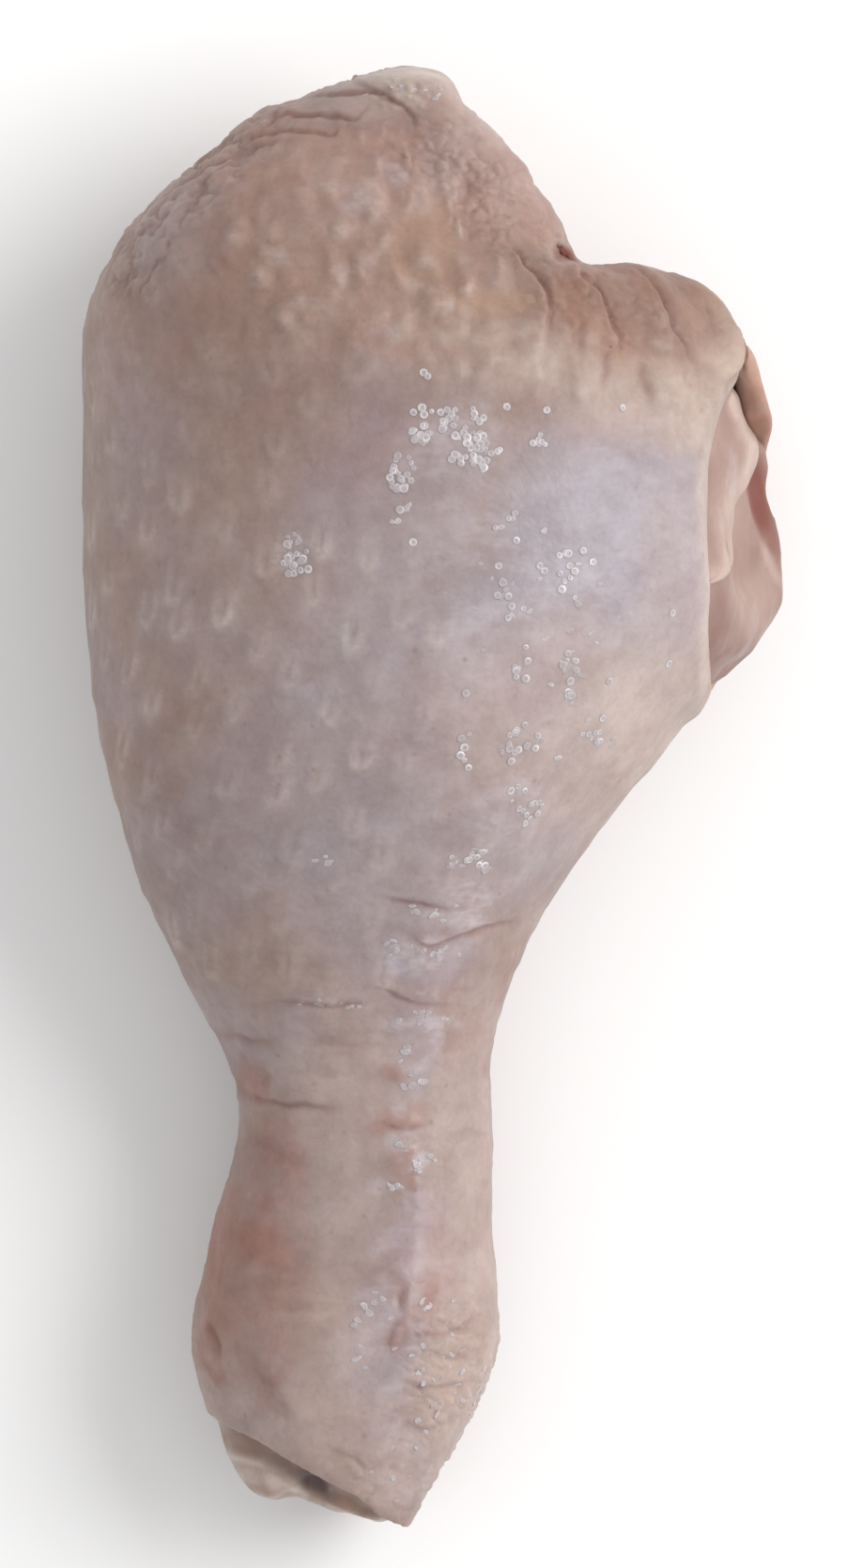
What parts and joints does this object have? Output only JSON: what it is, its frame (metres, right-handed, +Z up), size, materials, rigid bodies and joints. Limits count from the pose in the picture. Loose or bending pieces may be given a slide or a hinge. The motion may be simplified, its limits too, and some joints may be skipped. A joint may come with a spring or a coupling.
{
  "type": "raw chicken drumstick",
  "caption": "Raw chicken drumstick with its skin on, lying on its back, cut open beside the knee, with the joint showing at the hock.",
  "frame": {"origin": "on the table under the middle of the drumstick's bounding box", "axes": "+Y from the hock to the knee end, +X towards the cut beside the knee, +Z up from the table through the shown side"},
  "size_m": [0.067, 0.14, 0.0442],
  "materials": {
    "skin": "wet raw poultry skin, translucent, pale pink over grey-lilac and cream fat",
    "meat": "wet raw dark poultry meat, pink-brown",
    "bone": "moist grey-beige cartilage and bone",
    "membrane": "moist pale membrane and fat"
  },
  "bodies": {
    "root": {"skin": "skin", "meat": "meat", "shin_bone": "bone", "inner_fold": "membrane"}
  },
  "joints": []
}
